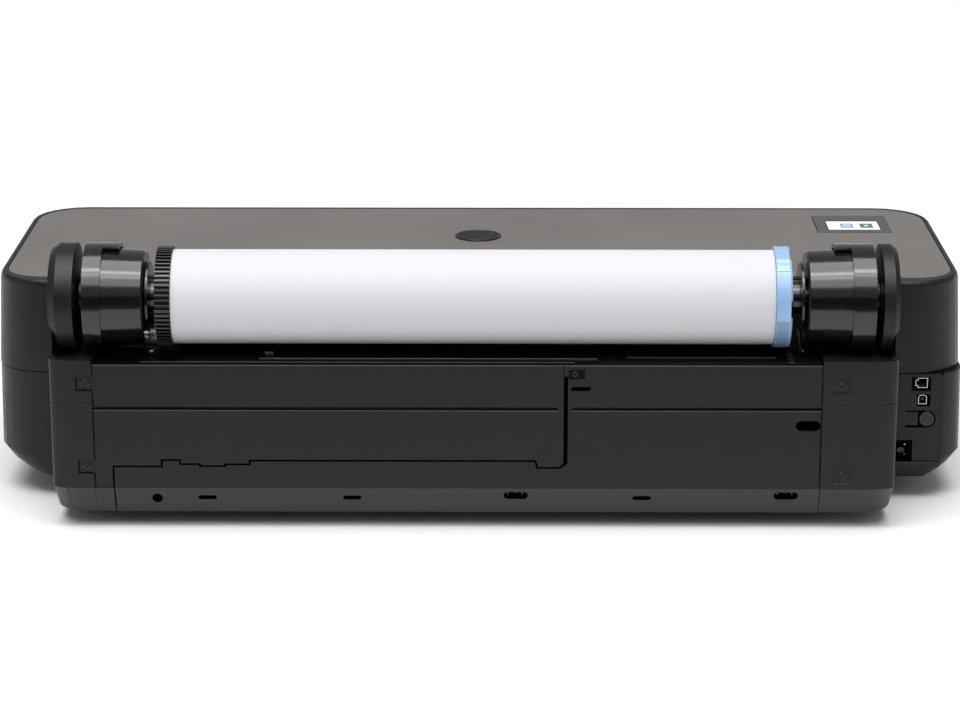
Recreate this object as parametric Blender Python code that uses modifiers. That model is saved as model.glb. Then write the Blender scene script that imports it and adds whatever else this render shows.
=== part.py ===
"""Large format plotter for a desk: one 24-inch paper roll on a spindle behind a wide printer body.

+Z is up and z = 0 is the desk. The printer's front looks along -Y and the roll is at +Y. The origin is
below the middle of the plotter. All sizes below are in millimetres and become metres in metres().
"""

import math

import bmesh
import bpy
from mathutils import Matrix, Vector

GAP = 0.3

# Printer body
FRONT = -220.0
REAR = 117.0
MID_REAR = 100.0
RECESS_RIGHT = 440.0
RECESS_LEFT = -429.5
HALF_TOP = 500.2
HALF_SEAM = 503.6
HALF_WIDEST = 504.8
BODY_TOP = 234.0
SEAM = 136.0
CHAMFER_TOP = 48.0
BODY_BOTTOM = 21.0
FRONT_RADIUS = 58.0
REAR_RADIUS = 55.0
PORT_RADIUS = 34.0
WALL = 4.0
ARC_STEPS = 6

# Lid over the carriage
LID_HALF = 493.0
LID_REAR = 98.0
LID_BOTTOM = 229.6
LID_TOP = 233.4
LID_GAP = 0.6

# Rear unit and roll
UNIT_REAR = 220.0
PANEL_REAR = 219.0
PANEL_INNER = 215.5
UNIT_FRONT = 100.4
UNIT_TOP = 173.2
COVER_TOP = 178.0
COVER_SEAM = 133.2
BEVEL_TOP = 44.0
UNIT_BOTTOM = 14.0
LEFT_COVER = (388.5, 431.5)
EAR_HEIGHTS = (66.3, 153.4)
EAR_END = 403.6
EAR_REAR = 217.6
RIGHT_COVER = (-422.0, -346.0)
COVER_SCREWS = ((-367.3, 57.5), (-364.8, 152.4))
AXIS_Y = 165.3
AXIS_Z = 230.6
CHEEK_RADIUS = 54.4
CHEEK_WALL = 3.0
CHEEK_FILLET = 9.0
ROLL_RADIUS = 47.8
FLANGE_X = (308.3, 323.9)
HUB_X = (-312.2, -297.7)
ROLL_X = (-297.4, 308.0)
SHAFT_RADIUS = 10.0
BEARING_GAP = 0.3

# Gear pairs: module and teeth
ROLL_MODULE = 1.5625
FLANGE_TEETH = 64
ROLL_PINION_TEETH = 16
ROLL_PINION_ANGLE = math.radians(-120.0)
FEED_MODULE = 1.0
FEED_TEETH = 48
FEED_PINION_TEETH = 16

# Paper path inside
FEED_Y = 34.0
FEED_Z = 122.0
FEED_RADIUS = 12.0
PINCH_RADIUS = 6.0
BELT_Z = 182.0
PULLEY_X = 470.0
PULLEY_RADIUS = 6.0
BELT_THICKNESS = 1.2

COLOURS = {
    "black_shell": ((0.018, 0.019, 0.021), 0.45, 0.0),
    "gloss_black": ((0.008, 0.008, 0.009), 0.2, 0.0),
    "taupe_inlay": ((0.21, 0.195, 0.185), 0.55, 0.0),
    "dark_grey": ((0.10, 0.10, 0.105), 0.5, 0.0),
    "screen": ((0.75, 0.85, 0.88), 0.15, 0.0),
    "paper": ((0.86, 0.86, 0.88), 0.85, 0.0),
    "card": ((0.45, 0.33, 0.2), 0.9, 0.0),
    "blue": ((0.25, 0.52, 0.85), 0.35, 0.0),
    "steel": ((0.6, 0.61, 0.63), 0.3, 1.0),
    "rubber": ((0.02, 0.02, 0.02), 0.85, 0.0),
    "circuit": ((0.02, 0.16, 0.06), 0.5, 0.0),
    "cyan": ((0.0, 0.3, 0.55), 0.5, 0.0),
    "magenta": ((0.5, 0.02, 0.2), 0.5, 0.0),
    "yellow": ((0.75, 0.55, 0.02), 0.5, 0.0),
}


def metres(point):
    """A point given in millimetres, as a vector in metres."""
    return Vector(point) * 0.001


def clear_scene():
    for item in list(bpy.data.objects):
        bpy.data.objects.remove(item, do_unlink=True)


def new_collection(name):
    group = bpy.data.collections.new(name)
    bpy.context.scene.collection.children.link(group)
    return group


def make_material(name):
    colour, roughness, metallic = COLOURS[name]
    material = bpy.data.materials.new(name)
    material.use_nodes = True
    shader = material.node_tree.nodes["Principled BSDF"]
    shader.inputs["Base Color"].default_value = (*colour, 1.0)
    shader.inputs["Roughness"].default_value = roughness
    shader.inputs["Metallic"].default_value = metallic
    return material


clear_scene()
PARTS = new_collection("large_format_plotter")
CUTTERS = new_collection("cutters")
MATERIALS = {name: make_material(name) for name in COLOURS}


# Building blocks


def place(name, mesh, material):
    """Links a mesh as a sub-part, or as a cutter when it has no material."""
    item = bpy.data.objects.new(name, mesh)
    if material is None:
        CUTTERS.objects.link(item)
        item.hide_render = True
        item.display_type = "WIRE"
    else:
        PARTS.objects.link(item)
        mesh.materials.clear()
        mesh.materials.append(MATERIALS[material])
    return item


def from_bmesh(name, shape, material):
    bmesh.ops.recalc_face_normals(shape, faces=shape.faces)
    mesh = bpy.data.meshes.new(name)
    shape.to_mesh(mesh)
    shape.free()
    return place(name, mesh, material)


def box(name, low, high, material=None):
    """A box between two corners."""
    shape = bmesh.new()
    bmesh.ops.create_cube(shape, size=1.0)
    size = metres(high) - metres(low)
    middle = (metres(high) + metres(low)) / 2
    bmesh.ops.scale(shape, vec=size, verts=shape.verts)
    bmesh.ops.translate(shape, vec=middle, verts=shape.verts)
    return from_bmesh(name, shape, material)


AXIS_FRAMES = {
    "X": Matrix(((0, 0, 1), (1, 0, 0), (0, 1, 0))),
    "Y": Matrix(((1, 0, 0), (0, 0, -1), (0, 1, 0))),
    "Z": Matrix.Identity(3),
}


def slab(name, outlines, axis, low, high, material=None):
    """Outlines, the first the rim and the others holes, given thickness from low to high on an axis.

    Outlines are (y, z) points for X, (x, z) points for Y and (x, y) points for Z.
    """
    curve = bpy.data.curves.new(name, "CURVE")
    curve.dimensions = "2D"
    curve.fill_mode = "BOTH"
    curve.extrude = 0.0005 * (high - low)
    for outline in outlines:
        spline = curve.splines.new("POLY")
        spline.points.add(len(outline) - 1)
        for point, (a, b) in zip(spline.points, outline):
            point.co = (0.001 * a, 0.001 * b, 0.0, 1.0)
        spline.use_cyclic_u = True
    guide = bpy.data.objects.new(name + "_outline", curve)
    bpy.context.scene.collection.objects.link(guide)
    evaluated = guide.evaluated_get(bpy.context.evaluated_depsgraph_get())
    mesh = bpy.data.meshes.new_from_object(evaluated)
    bpy.data.objects.remove(guide, do_unlink=True)
    shape = bmesh.new()
    shape.from_mesh(mesh)
    bmesh.ops.remove_doubles(shape, verts=shape.verts, dist=1e-6)
    middle = (low + high) / 2
    shift = {"X": (middle, 0, 0), "Y": (0, middle, 0), "Z": (0, 0, middle)}[axis]
    move = Matrix.Translation(metres(shift)) @ AXIS_FRAMES[axis].to_4x4()
    bmesh.ops.transform(shape, matrix=move, verts=shape.verts)
    bpy.data.meshes.remove(mesh)
    return from_bmesh(name, shape, material)


def loft(name, rings, material=None):
    """A closed skin through rings of matching points, with a flat cap at each end."""
    shape = bmesh.new()
    loops = [[shape.verts.new(metres(point)) for point in ring] for ring in rings]
    shape.faces.new(loops[0])
    shape.faces.new(loops[-1])
    for lower, upper in zip(loops, loops[1:]):
        for i in range(len(lower)):
            shape.faces.new((lower[i - 1], lower[i], upper[i], upper[i - 1]))
    return from_bmesh(name, shape, material)


def turned(name, profile, axis, centre, steps, material=None):
    """A profile of (distance along the axis, radius) turned about an axis through centre.

    The profile runs down its outer side, from the far end of the axis to the near end.
    """
    mesh = bpy.data.meshes.new(name)
    points = [metres((radius, 0, along)) for along, radius in profile]
    closed = profile[0][1] > 0
    edges = [(i, i + 1) for i in range(len(points) - 1)]
    if closed:
        edges.append((len(points) - 1, 0))
    mesh.from_pydata(points, edges, [])
    item = place(name, mesh, material)
    item.location = metres(centre)
    item.rotation_euler = {"X": (0, math.pi / 2, 0), "Y": (-math.pi / 2, 0, 0), "Z": (0, 0, 0)}[axis]
    screw = item.modifiers.new("turn", "SCREW")
    screw.steps = steps
    screw.render_steps = steps
    screw.use_merge_vertices = True
    screw.merge_threshold = 0.00001
    return item


def cylinder(name, axis, centre, radius, low, high, steps, material=None):
    """A round bar about an axis through centre, from low to high along it."""
    profile = [(high, 0), (high, radius), (low, radius), (low, 0)]
    return turned(name, profile, axis, centre, steps, material)


def boolean(target, tool, operation):
    step = target.modifiers.new(operation.lower(), "BOOLEAN")
    step.operation = operation
    step.object = tool
    step.solver = "EXACT"


def cut(target, *tools):
    for tool in tools:
        boolean(target, tool, "DIFFERENCE")


def join(target, *tools):
    for tool in tools:
        boolean(target, tool, "UNION")


def arc(centre_x, centre_y, radius_x, radius_y, start, end, steps=ARC_STEPS):
    """Points of an elliptical arc, angles in degrees."""
    points = []
    for i in range(steps + 1):
        angle = math.radians(start + (end - start) * i / steps)
        points.append((centre_x + radius_x * math.cos(angle), centre_y + radius_y * math.sin(angle)))
    return points


def circle(a, b, radius, steps=24):
    return arc(a, b, radius, radius, 0, 360 * (steps - 1) / steps, steps - 1)


def stadium(a, b, length, height, steps=6):
    """A slot with round ends, its long way along the first axis."""
    radius = height / 2
    reach = length / 2 - radius
    right = arc(a + reach, b, radius, radius, -90, 90, steps)
    left = arc(a - reach, b, radius, radius, 90, 270, steps)
    return right + left


def rectangle(a_low, b_low, a_high, b_high):
    return [(a_low, b_low), (a_high, b_low), (a_high, b_high), (a_low, b_high)]


def rounded(a_low, b_low, a_high, b_high, radius, steps=4):
    """A rectangle with round corners."""
    points = arc(a_low + radius, b_low + radius, radius, radius, 180, 270, steps)
    points += arc(a_high - radius, b_low + radius, radius, radius, 270, 360, steps)
    points += arc(a_high - radius, b_high - radius, radius, radius, 0, 90, steps)
    points += arc(a_low + radius, b_high - radius, radius, radius, 90, 180, steps)
    return points


def gear_outline(centre, module, teeth, tooth_angle):
    """A spur gear's outline with one tooth centred on tooth_angle, slim enough to run with backlash."""
    pitch = module * teeth / 2
    tip = pitch + 0.8 * module
    root = pitch - 1.15 * module
    step = 2 * math.pi / teeth
    points = []
    for i in range(teeth):
        middle = tooth_angle + i * step
        for offset, radius in ((-0.27, root), (-0.13, tip), (0.13, tip), (0.27, root)):
            angle = middle + offset * step
            points.append((centre[0] + radius * math.cos(angle), centre[1] + radius * math.sin(angle)))
    return points


def hinge_origin(item, point):
    """Moves an object's origin to a joint's axis and leaves its shape where it is."""
    here = metres(point)
    item.data.transform(Matrix.Translation(item.location - here))
    item.location = here


# Printer body


def body_plan(half, inset_x=0.0, inset_rear=0.0, wall=0.0, left_radius=REAR_RADIUS):
    """The body seen from above, stepped back in the middle of its rear for the roll."""
    side = FRONT_RADIUS - inset_x - wall
    front = FRONT_RADIUS - inset_x - wall
    points = arc(-(half - FRONT_RADIUS), FRONT + FRONT_RADIUS, side, front, 180, 270)
    points += arc(half - FRONT_RADIUS, FRONT + FRONT_RADIUS, side, front, 270, 360)
    points += arc(
        half - REAR_RADIUS,
        REAR - REAR_RADIUS,
        REAR_RADIUS - inset_x - wall,
        REAR_RADIUS - inset_rear - wall,
        0,
        90,
    )
    rear = REAR - inset_rear - wall
    middle = MID_REAR - wall
    points += [(RECESS_RIGHT + wall, rear), (RECESS_RIGHT + wall, middle)]
    points += [(RECESS_LEFT - wall, middle), (RECESS_LEFT - wall, rear)]
    points += arc(
        -(half - left_radius),
        REAR - left_radius,
        left_radius - inset_x - wall,
        left_radius - inset_rear - wall,
        90,
        180,
    )
    return points


def lid_plan(grow):
    """The lid seen from above, grown on every side by a margin."""
    half = LID_HALF + grow
    front = FRONT + 7.0 - grow
    rear = LID_REAR + grow
    points = arc(-(half - 51), front + 51, 51, 51, 180, 270)
    points += arc(half - 51, front + 51, 51, 51, 270, 360)
    points += arc(half - 42, rear - 42, 42, 42, 0, 90)
    points += [(447 - grow, rear), (447 - grow, rear - 7), (-437 + grow, rear - 7), (-437 + grow, rear)]
    points += arc(-(half - 42), rear - 42, 42, 42, 90, 180)
    return points


def at_height(outline, z):
    return [(x, y, z) for x, y in outline]


def make_base_shell():
    levels = (
        (BODY_BOTTOM, 497.0, 24.0, 10.0),
        (27.0, 500.0, 17.0, 5.0),
        (35.0, 502.5, 9.0, 1.0),
        (CHAMFER_TOP, HALF_WIDEST, 0.0, 0.0),
        (SEAM - GAP, HALF_SEAM, 0.0, 0.0),
    )
    rings = [at_height(body_plan(half, x, y, 0, PORT_RADIUS), z) for z, half, x, y in levels]
    shell = loft("base_shell", rings, "black_shell")
    hollow = (
        (BODY_BOTTOM + WALL, 499.0, 24.0, 10.0),
        (CHAMFER_TOP + 2, HALF_WIDEST, 2.0, 0.0),
        (SEAM + 5, HALF_SEAM, 0.0, 0.0),
    )
    rings = [at_height(body_plan(half, x, y, WALL, PORT_RADIUS), z) for z, half, x, y in hollow]
    cut(shell, loft("base_hollow", rings))
    cut(shell, box("output_slot", (-320.6, FRONT - 5, 61.4), (320.6, FRONT + 12, 110.6)))
    cut(shell, box("ink_opening", (341.9, FRONT - 5, 59.4), (442.1, FRONT + 12, 124.6)))
    cut(shell, slab("port_window", [rounded(-482.4, 35.6, -433.9, SEAM + 6, 3)], "Y", 100, 125))


def make_port_panel():
    """The flat panel at one rear corner, pierced for the sockets, the key and the power lead."""
    outline = rounded(-482, 36, -434.3, SEAM - 2 * GAP, 3)
    panel = slab("port_panel", [outline], "Y", REAR - WALL, REAR - 0.4, "black_shell")
    cut(panel, box("network_opening", (-469, 100, 117), (-449, 125, 132.4)))
    cut(panel, box("data_opening", (-469, 100, 100.5), (-455, 125, 113.6)))
    cut(panel, box("power_opening", (-452, 100, 38), (-430, 125, 64)))
    key_slot = arc(-466, 86.75, 9.4, 9.4, 90, 270, 8) + [(-444, 77.35), (-444, 96.15)]
    cut(panel, slab("key_opening", [key_slot], "Y", 100, 125))


def make_upper_shell():
    levels = (
        (SEAM + GAP, HALF_SEAM + 0.6, 0.0),
        (228.0, HALF_TOP, 0.0),
        (232.0, HALF_TOP, 1.2),
        (BODY_TOP, HALF_TOP, 3.2),
    )
    rings = [at_height(body_plan(half, inset, inset), z) for z, half, inset in levels]
    shell = loft("upper_shell", rings, "black_shell")
    hollow = ((SEAM - 5, HALF_SEAM), (224.0, HALF_TOP))
    rings = [at_height(body_plan(half, 0, 0, WALL), z) for z, half in hollow]
    cut(shell, loft("upper_hollow", rings))
    cut(shell, slab("lid_ledge", [rounded(-485, -205, 485, 84, 44)], "Z", 223, 230))
    cut(shell, slab("lid_pocket", [lid_plan(LID_GAP)], "Z", 229, 240))
    cut(shell, box("paper_slot", (-400, 90, 182), (400, 105, 214)))


def make_lid():
    lid = slab("top_lid", [lid_plan(0)], "Z", LID_BOTTOM, LID_TOP, "taupe_inlay")
    cut(lid, slab("panel_window", [rounded(-451.6, -179.6, -370.4, -101.4, 3)], "Z", 220, 240))
    hinge_origin(lid, (0, LID_REAR, LID_TOP))
    cylinder("emblem_disc", "Z", (2, -82, LID_TOP), 25, GAP, 1.3, 40, "gloss_black")


def make_control_panel():
    shelf = box("control_panel", (-494, -176, 206), (-374, -105, 214), "dark_grey")
    join(shelf, slab("panel_riser", [rounded(-451, -179, -371, -102, 2.6)], "Z", 210, 233.8))
    cut(shelf, box("screen_seat", (-441, -156, 230), (-383, -112, 240)))
    box("display_glass", (-440.6, -155.6, 230.4), (-383.4, -112.4, 233.2), "screen")


# Front doors and ink


def make_front():
    flap = box("output_flap", (-320, FRONT, 62), (320, FRONT + 3, 110), "dark_grey")
    hinge_origin(flap, (0, FRONT, 62))
    door = box("ink_door", (342.5, FRONT, 60), (441.5, FRONT + 3, 124), "black_shell")
    hinge_origin(door, (392, FRONT, 60))
    bay = box("cartridge_bay", (338, -211, 59), (446, -120, 128), "dark_grey")
    cut(bay, box("bay_hollow", (341, -230, 62), (443, -123, 125)))
    for index, colour in enumerate(("cyan", "magenta", "yellow", "gloss_black")):
        middle = 354.5 + 25.0 * index
        low = (middle - 11, -205, 63)
        high = (middle + 11, -135, 120)
        box(f"ink_cartridge_{index + 1}", low, high, colour)


# Carriage and paper path


def make_carriage():
    rail = [(14, 165), (38, 165), (38, 200), (34, 200), (34, 169), (14, 169)]
    beam = slab("carriage_rail", [rail], "X", -485, 485, "steel")
    join(beam, box("idler_bracket", (-480, 36, 172), (-460, 41.4, 192)))
    side = [(-75, 137.5), (8, 137.5), (8, 172), (30, 172), (30, 200.8), (40.5, 200.8), (40.5, 206)]
    side += [(-40, 206), (-75, 190)]
    carriage = slab("carriage", [side], "X", 352, 438, "dark_grey")
    hinge_origin(carriage, (395, 8, 180))
    reach = PULLEY_X
    inner = PULLEY_RADIUS + GAP
    outer = inner + BELT_THICKNESS
    rim = stadium(0, BELT_Z, 2 * (reach + outer), 2 * outer, 10)
    hole = stadium(0, BELT_Z, 2 * (reach + inner), 2 * inner, 10)
    slab("drive_belt", [rim, hole], "Y", 43, 49, "rubber")
    for name, x in (("motor_pulley", PULLEY_X), ("idler_pulley", -PULLEY_X)):
        cylinder(name, "Y", (x, 46, BELT_Z), PULLEY_RADIUS, -4, 4, 20, "steel")
    cylinder("carriage_motor", "Y", (PULLEY_X, 50.5, BELT_Z), 17, 0, 33, 24, "dark_grey")


def make_cutter():
    box("cutter_rail", (-345, -100, 141), (345, -90, 150), "steel")
    cutter = box("cutter", (300, -108, 150.4), (328, -82, 170), "gloss_black")
    hinge_origin(cutter, (314, -95, 150.4))


def make_paper_feed():
    profile = [(-78, 25.4), (-74, 25.4), (-74, 128), (12, 128), (12, 25.4), (16, 25.4), (16, 134), (-78, 134)]
    slab("platen", [profile], "X", -335, 335, "dark_grey")
    shaft = 5.0
    ends = [(352, 0), (352, shaft), (338, shaft), (338, FEED_RADIUS)]
    ends += [(-338, FEED_RADIUS), (-338, shaft), (-350, shaft), (-350, 0)]
    turned("feed_roller", ends, "X", (0, FEED_Y, FEED_Z), 24, "rubber")
    centre = (FEED_Y, FEED_Z)
    wheel = gear_outline(centre, FEED_MODULE, FEED_TEETH, math.radians(-90))
    bore = circle(FEED_Y, FEED_Z, shaft + GAP)
    gear = slab("feed_gear", [wheel, bore], "X", 343, 351, "dark_grey")
    hinge_origin(gear, (0, FEED_Y, FEED_Z))
    drop = FEED_MODULE * (FEED_TEETH + FEED_PINION_TEETH) / 2
    pinion_z = FEED_Z - drop
    step = 2 * math.pi / FEED_PINION_TEETH
    teeth = gear_outline((FEED_Y, pinion_z), FEED_MODULE, FEED_PINION_TEETH, math.radians(90) - step / 2)
    pinion = slab("feed_pinion", [teeth], "X", 343, 351, "steel")
    hinge_origin(pinion, (0, FEED_Y, pinion_z))
    cylinder("feed_motor", "X", (352, FEED_Y, pinion_z), 18, 0, 44, 24, "dark_grey")
    pinch_z = FEED_Z + FEED_RADIUS + PINCH_RADIUS + GAP
    cylinder("pinch_roller", "X", (0, FEED_Y, pinch_z), PINCH_RADIUS, -330, 330, 16, "rubber")
    box("service_station", (356, -72, 100), (440, 5, 130), "dark_grey")


# Electronics and sockets


def make_electronics():
    box("main_board", (-489, 70, 60), (-300, 72, 130), "circuit")
    box("power_supply", (-425, 20, 30), (-250, 66, 56), "dark_grey")
    network = box("network_socket", (-467, 90, 119), (-452, 114.5, 132), "steel")
    cut(network, box("network_mouth", (-465.5, 96, 120.5), (-453.5, 120, 130.5)))
    data = box("data_socket", (-466, 90, 102), (-456, 114.5, 113), "steel")
    cut(data, box("data_mouth", (-464.6, 96, 103.4), (-457.4, 120, 111.6)))
    inlet = box("power_inlet", (-451.5, 82, 36), (-434.5, 105.5, 63), "gloss_black")
    cut(inlet, slab("inlet_mouth", [rounded(-449.5, 39, -436.5, 60, 3)], "Y", 94, 120))
    cylinder("rear_key", "Y", (-466, 115.0, 86.75), 8.0, -12.0, 1.6, 24, "dark_grey")


# Rear unit


def unit_plan(inner, outer, inset, wall):
    """A side cover seen from above: its outer rear corner is a flat ellipse."""
    sign = 1 if outer > 0 else -1
    edge = outer - sign * wall
    rear = UNIT_REAR - inset - wall
    reach = 26.0 + inset * 0.7 - wall
    depth = 9.0 + inset * 1.6 - wall
    corner = arc(edge - sign * reach, rear - depth, sign * reach, depth, 0, 90)
    return [(inner, UNIT_FRONT + wall), (edge, UNIT_FRONT + wall), *corner, (inner, rear)]


def make_side_cover(side, inner, outer):
    """The lower half of a side cover: a skin that opens towards the middle of the unit."""
    sign = 1 if outer > 0 else -1
    levels = ((UNIT_BOTTOM, 15.0), (BEVEL_TOP, 0.0), (COVER_SEAM - GAP, 0.0))
    rings = [at_height(unit_plan(inner, outer, inset, 0), z) for z, inset in levels]
    cover = loft(f"side_cover_{side}", rings, "black_shell")
    open_side = inner - sign * 5
    levels = ((UNIT_BOTTOM + WALL, 14.0), (BEVEL_TOP, 0.0), (COVER_SEAM - WALL, 0.0))
    rings = [at_height(unit_plan(open_side, outer, inset, WALL), z) for z, inset in levels]
    cut(cover, loft(f"side_hollow_{side}", rings))
    return cover


def make_cheek(side, inside, shoulder, face):
    """A round cheek beside the drum, chamfered on its outer side, with its wall and the fillet at its foot."""
    sign = 1 if face > 0 else -1
    chamfer = abs(face - shoulder) * 0.7
    profile = [(0, 0), (0, CHEEK_RADIUS), (shoulder - inside, CHEEK_RADIUS)]
    profile += [(face - inside - sign * 0.3, CHEEK_RADIUS - chamfer), (face - inside - sign * 0.3, 0)]
    if sign > 0:
        profile.reverse()
    cheek = turned(f"cheek_{side}", profile, "X", (inside, AXIS_Y, AXIS_Z), 64)
    low, high = sorted((face - sign * CHEEK_WALL, face))
    join(cheek, box(f"cheek_wall_{side}", (low, 112, 165), (high, 210.6, AXIS_Z)))
    inner = face - sign * (CHEEK_WALL - 0.5)
    centre = (inner - sign * CHEEK_FILLET, COVER_TOP - 0.5 + CHEEK_FILLET)
    turn = (0, -90) if sign > 0 else (180, 270)
    outline = arc(*centre, CHEEK_FILLET, CHEEK_FILLET, *turn, 6)
    outline += [(centre[0], COVER_TOP - 4), (inner, COVER_TOP - 4)]
    join(cheek, slab(f"cheek_fillet_{side}", [outline], "Y", 150, 214.2))
    return cheek


def make_cheek_cover(side, inner, outer, cheek):
    """The upper half of a side cover, with the round cheek that stands beside the drum."""
    levels = (COVER_SEAM, COVER_TOP)
    rings = [at_height(unit_plan(inner, outer, 0, 0), z) for z in levels]
    cover = loft(f"cheek_cover_{side}", rings, "black_shell")
    inside = cheek[0]
    sign = 1 if outer > 0 else -1
    join(cover, make_cheek(side, *cheek))
    low, high = sorted((inner - sign * 5, inside))
    trough = cylinder(f"drum_trough_{side}", "X", (0, AXIS_Y, AXIS_Z), 57.5, low, high, 48)
    cut(cover, trough)
    rings = [at_height(unit_plan(inner + sign * WALL, outer, 0, WALL), z) for z in (COVER_SEAM - 5, 167)]
    cut(cover, loft(f"cheek_hollow_{side}", rings))
    return cover


def ear_pocket(cover, z):
    """The pocket in a side cover that takes an ear of the access panel."""
    cut(cover, box(f"ear_pocket_{z:.0f}", (380, 205, z - 7.2), (EAR_END + 0.8, 225, z + 7.2)))


def screw_seat(cover, x, z):
    """A shallow square seat round a side cover's own screw."""
    cut(cover, box(f"screw_seat_{z:.0f}", (x - 9, UNIT_REAR - 1.2, z - 8), (x + 9, UNIT_REAR + 2, z + 8)))


def make_drum(side, end, rim, back, sign):
    """A fixed drum that carries one end of the spindle, hollow from the cheek side."""
    length = abs(back - end)
    flange = abs(rim - end)
    outer_end = length + 7.0
    bore = SHAFT_RADIUS + BEARING_GAP
    profile = [
        (outer_end, bore),
        (outer_end, 18.0),
        (5.0, 18.0),
        (5.0, 42.0),
        (flange - 2, 44.0),
        (flange + 2, 49.5),
        (length, 49.5),
        (length, CHEEK_RADIUS),
        (flange, CHEEK_RADIUS),
        (flange, 49.2),
        (1.8, 47.2),
        (0.0, 45.4),
        (0.0, bore),
    ]
    if sign < 0:
        profile = [(-along, radius) for along, radius in reversed(profile)]
    drum = turned(f"drum_{side}", profile, "X", (end, AXIS_Y, AXIS_Z), 48, "gloss_black")
    low, high = sorted((rim - sign * 16, rim + sign * 2))
    lip = arc(AXIS_Y, AXIS_Z, CHEEK_RADIUS, CHEEK_RADIUS, 82, 150, 9)
    lip += arc(AXIS_Y, AXIS_Z, 50.4, 50.4, 150, 82, 9)
    join(drum, slab(f"drum_lip_{side}", [lip], "X", low, high))


def make_rear_frame():
    section = [(100.4, 20), (203, 20), (203, 24), (104, 24), (104, 167), (212, 167), (212, 171), (100.4, 171)]
    slab("rear_frame", [section], "X", -345.6, 388.1, "dark_grey")
    outer = 59.4
    inner = 57.0
    trough = arc(AXIS_Y, AXIS_Z, inner, inner, 270, 212, 8)
    trough += arc(AXIS_Y, AXIS_Z, outer, outer, 212, 268, 8)
    trough += [(214, 171.3), (214, 173.2), (AXIS_Y + 10, 173.2)]
    slab("roll_deck", [trough], "X", -345, 300, "gloss_black")


def bevel_section(top, inset):
    """The plate that slopes forwards under the rear panels, up to a height behind the plate above it."""
    rear = PANEL_REAR - inset
    points = [(PANEL_INNER + 0.1, top), (rear, top), (rear, BEVEL_TOP)]
    points += [(205 - inset, UNIT_BOTTOM + inset), (201.4, UNIT_BOTTOM + inset)]
    return points + [(PANEL_INNER + 0.1, BEVEL_TOP - 0.1)]


def make_rear_panels():
    """Two plates whose edges step past each other, with a groove across both."""
    seam = [(370, 45), (370, 67.5), (321, 67.5), (321, 74.4), (300.6, 74.4), (300.6, 70.1), (280.5, 70.1)]
    seam += [(280.5, 68), (257, 68), (257, 70), (232, 70), (232, 74), (-58.5, 74), (-60.4, 66.8)]
    seam += [(-81.6, 66.8), (-86, 71)]
    outline = [(388.1, UNIT_TOP), (388.1, 45)] + seam + [(-86, UNIT_TOP)]
    panel = slab("rear_access_panel", [outline], "Y", PANEL_INNER, PANEL_REAR, "black_shell")
    groove = (126.0, 129.6)
    cut(panel, box("panel_groove", (-80, PANEL_REAR - 1.6, groove[0]), (395, 225, groove[1])))
    for z in EAR_HEIGHTS:
        join(panel, box(f"ear_{z:.0f}", (385, PANEL_INNER + 0.2, z - 6.4), (EAR_END, EAR_REAR, z + 6.4)))

    lower = [(368.2, BEVEL_TOP), (368.2, 65.6), (319, 65.6), (319, 72.4), (302.6, 72.4), (302.6, 68.1)]
    lower += [(282.5, 68.1), (282.5, 66), (255, 66), (255, 68), (230, 68), (230, 72), (-57, 72)]
    lower += [(-58.8, 64.8), (-82.6, 64.8), (-90.2, 70.0), (-90.2, 162), (-86.5, 162), (-86.5, UNIT_TOP)]
    lower += [(-345.6, UNIT_TOP)]
    lower += [(-345.6, BEVEL_TOP)]
    cover = slab("rear_cover", [lower], "Y", PANEL_INNER, PANEL_REAR, "black_shell")
    join(cover, slab("cover_bevel", [bevel_section(50, 0.02)], "X", -345.5, 368.1))
    cut(cover, box("cover_groove", (-400, PANEL_REAR - 1.6, groove[0]), (-95, 225, groove[1])))
    holes = [stadium(-103, 149, 20, 4.5), stadium(-332, 110.4, 25, 11)]
    for index, hole in enumerate(holes):
        cut(cover, slab(f"cover_hole_{index}", [hole], "Y", 212, 223))
    holes = [circle(326, 31, 5.5, 16), stadium(-38, 35, 25, 9), stadium(-312, 35, 25, 9)]
    holes += [stadium(x, 32, 19, 5) for x in (275, 128, -166)]
    for index, hole in enumerate(holes):
        cut(cover, slab(f"bevel_hole_{index}", [hole], "Y", 190, 230))


def make_screws():
    ears = [(395.4, z) for z in EAR_HEIGHTS]
    for index, (x, z) in enumerate([*ears, *COVER_SCREWS]):
        seat = EAR_REAR if x > 0 else UNIT_REAR - 1.2
        cylinder(f"cover_screw_{index + 1}", "Y", (x, seat + GAP, z), 3.4, 0, 1.0, 16, "steel")


# Roll


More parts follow.
